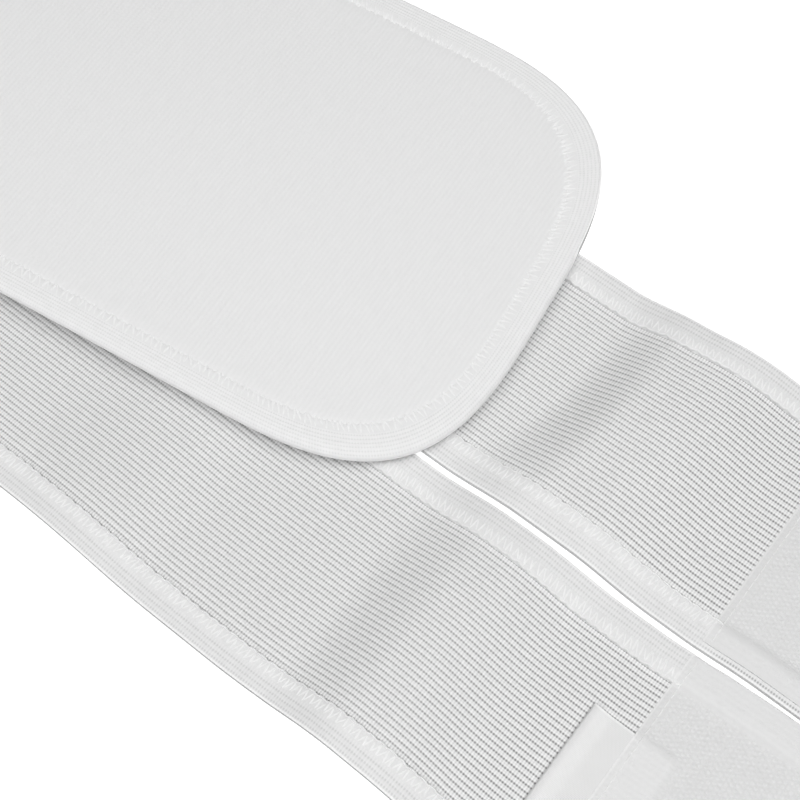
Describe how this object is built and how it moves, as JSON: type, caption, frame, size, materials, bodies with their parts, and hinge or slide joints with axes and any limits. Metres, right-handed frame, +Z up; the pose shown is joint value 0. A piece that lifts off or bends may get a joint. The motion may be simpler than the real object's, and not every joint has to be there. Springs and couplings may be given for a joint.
{
  "type": "rib belt",
  "caption": "Unfastened elastic rib support belt, lying folded: a broad rounded pad with a bound edge lies on split mesh elastic bands that end in hook patches.",
  "frame": {"origin": "on the ground under the middle of the belt's box as it lies folded", "axes": "+X along the bands towards their hook patches, +Y across the bands towards the upper one, +Z up from the ground"},
  "size_m": [0.5424, 0.1894, 0.0197],
  "materials": {
    "pad_knit": "white brushed loop knit with fine cross ribs, matt",
    "edging": "white ribbed elastic edging with zigzag stitching, matt",
    "mesh_elastic": "white open ribbed elastic mesh with doubled hems",
    "hook_patch": "milky translucent nylon with fine moulded hooks",
    "label": "white satin label tape, faint sheen"
  },
  "bodies": {
    "root": {"front_pad": "pad_knit", "pad_binding": "edging", "upper_band": "mesh_elastic", "lower_band": "mesh_elastic", "upper_hook_patch": "hook_patch", "lower_hook_patch": "hook_patch", "size_label": "label"}
  },
  "joints": []
}
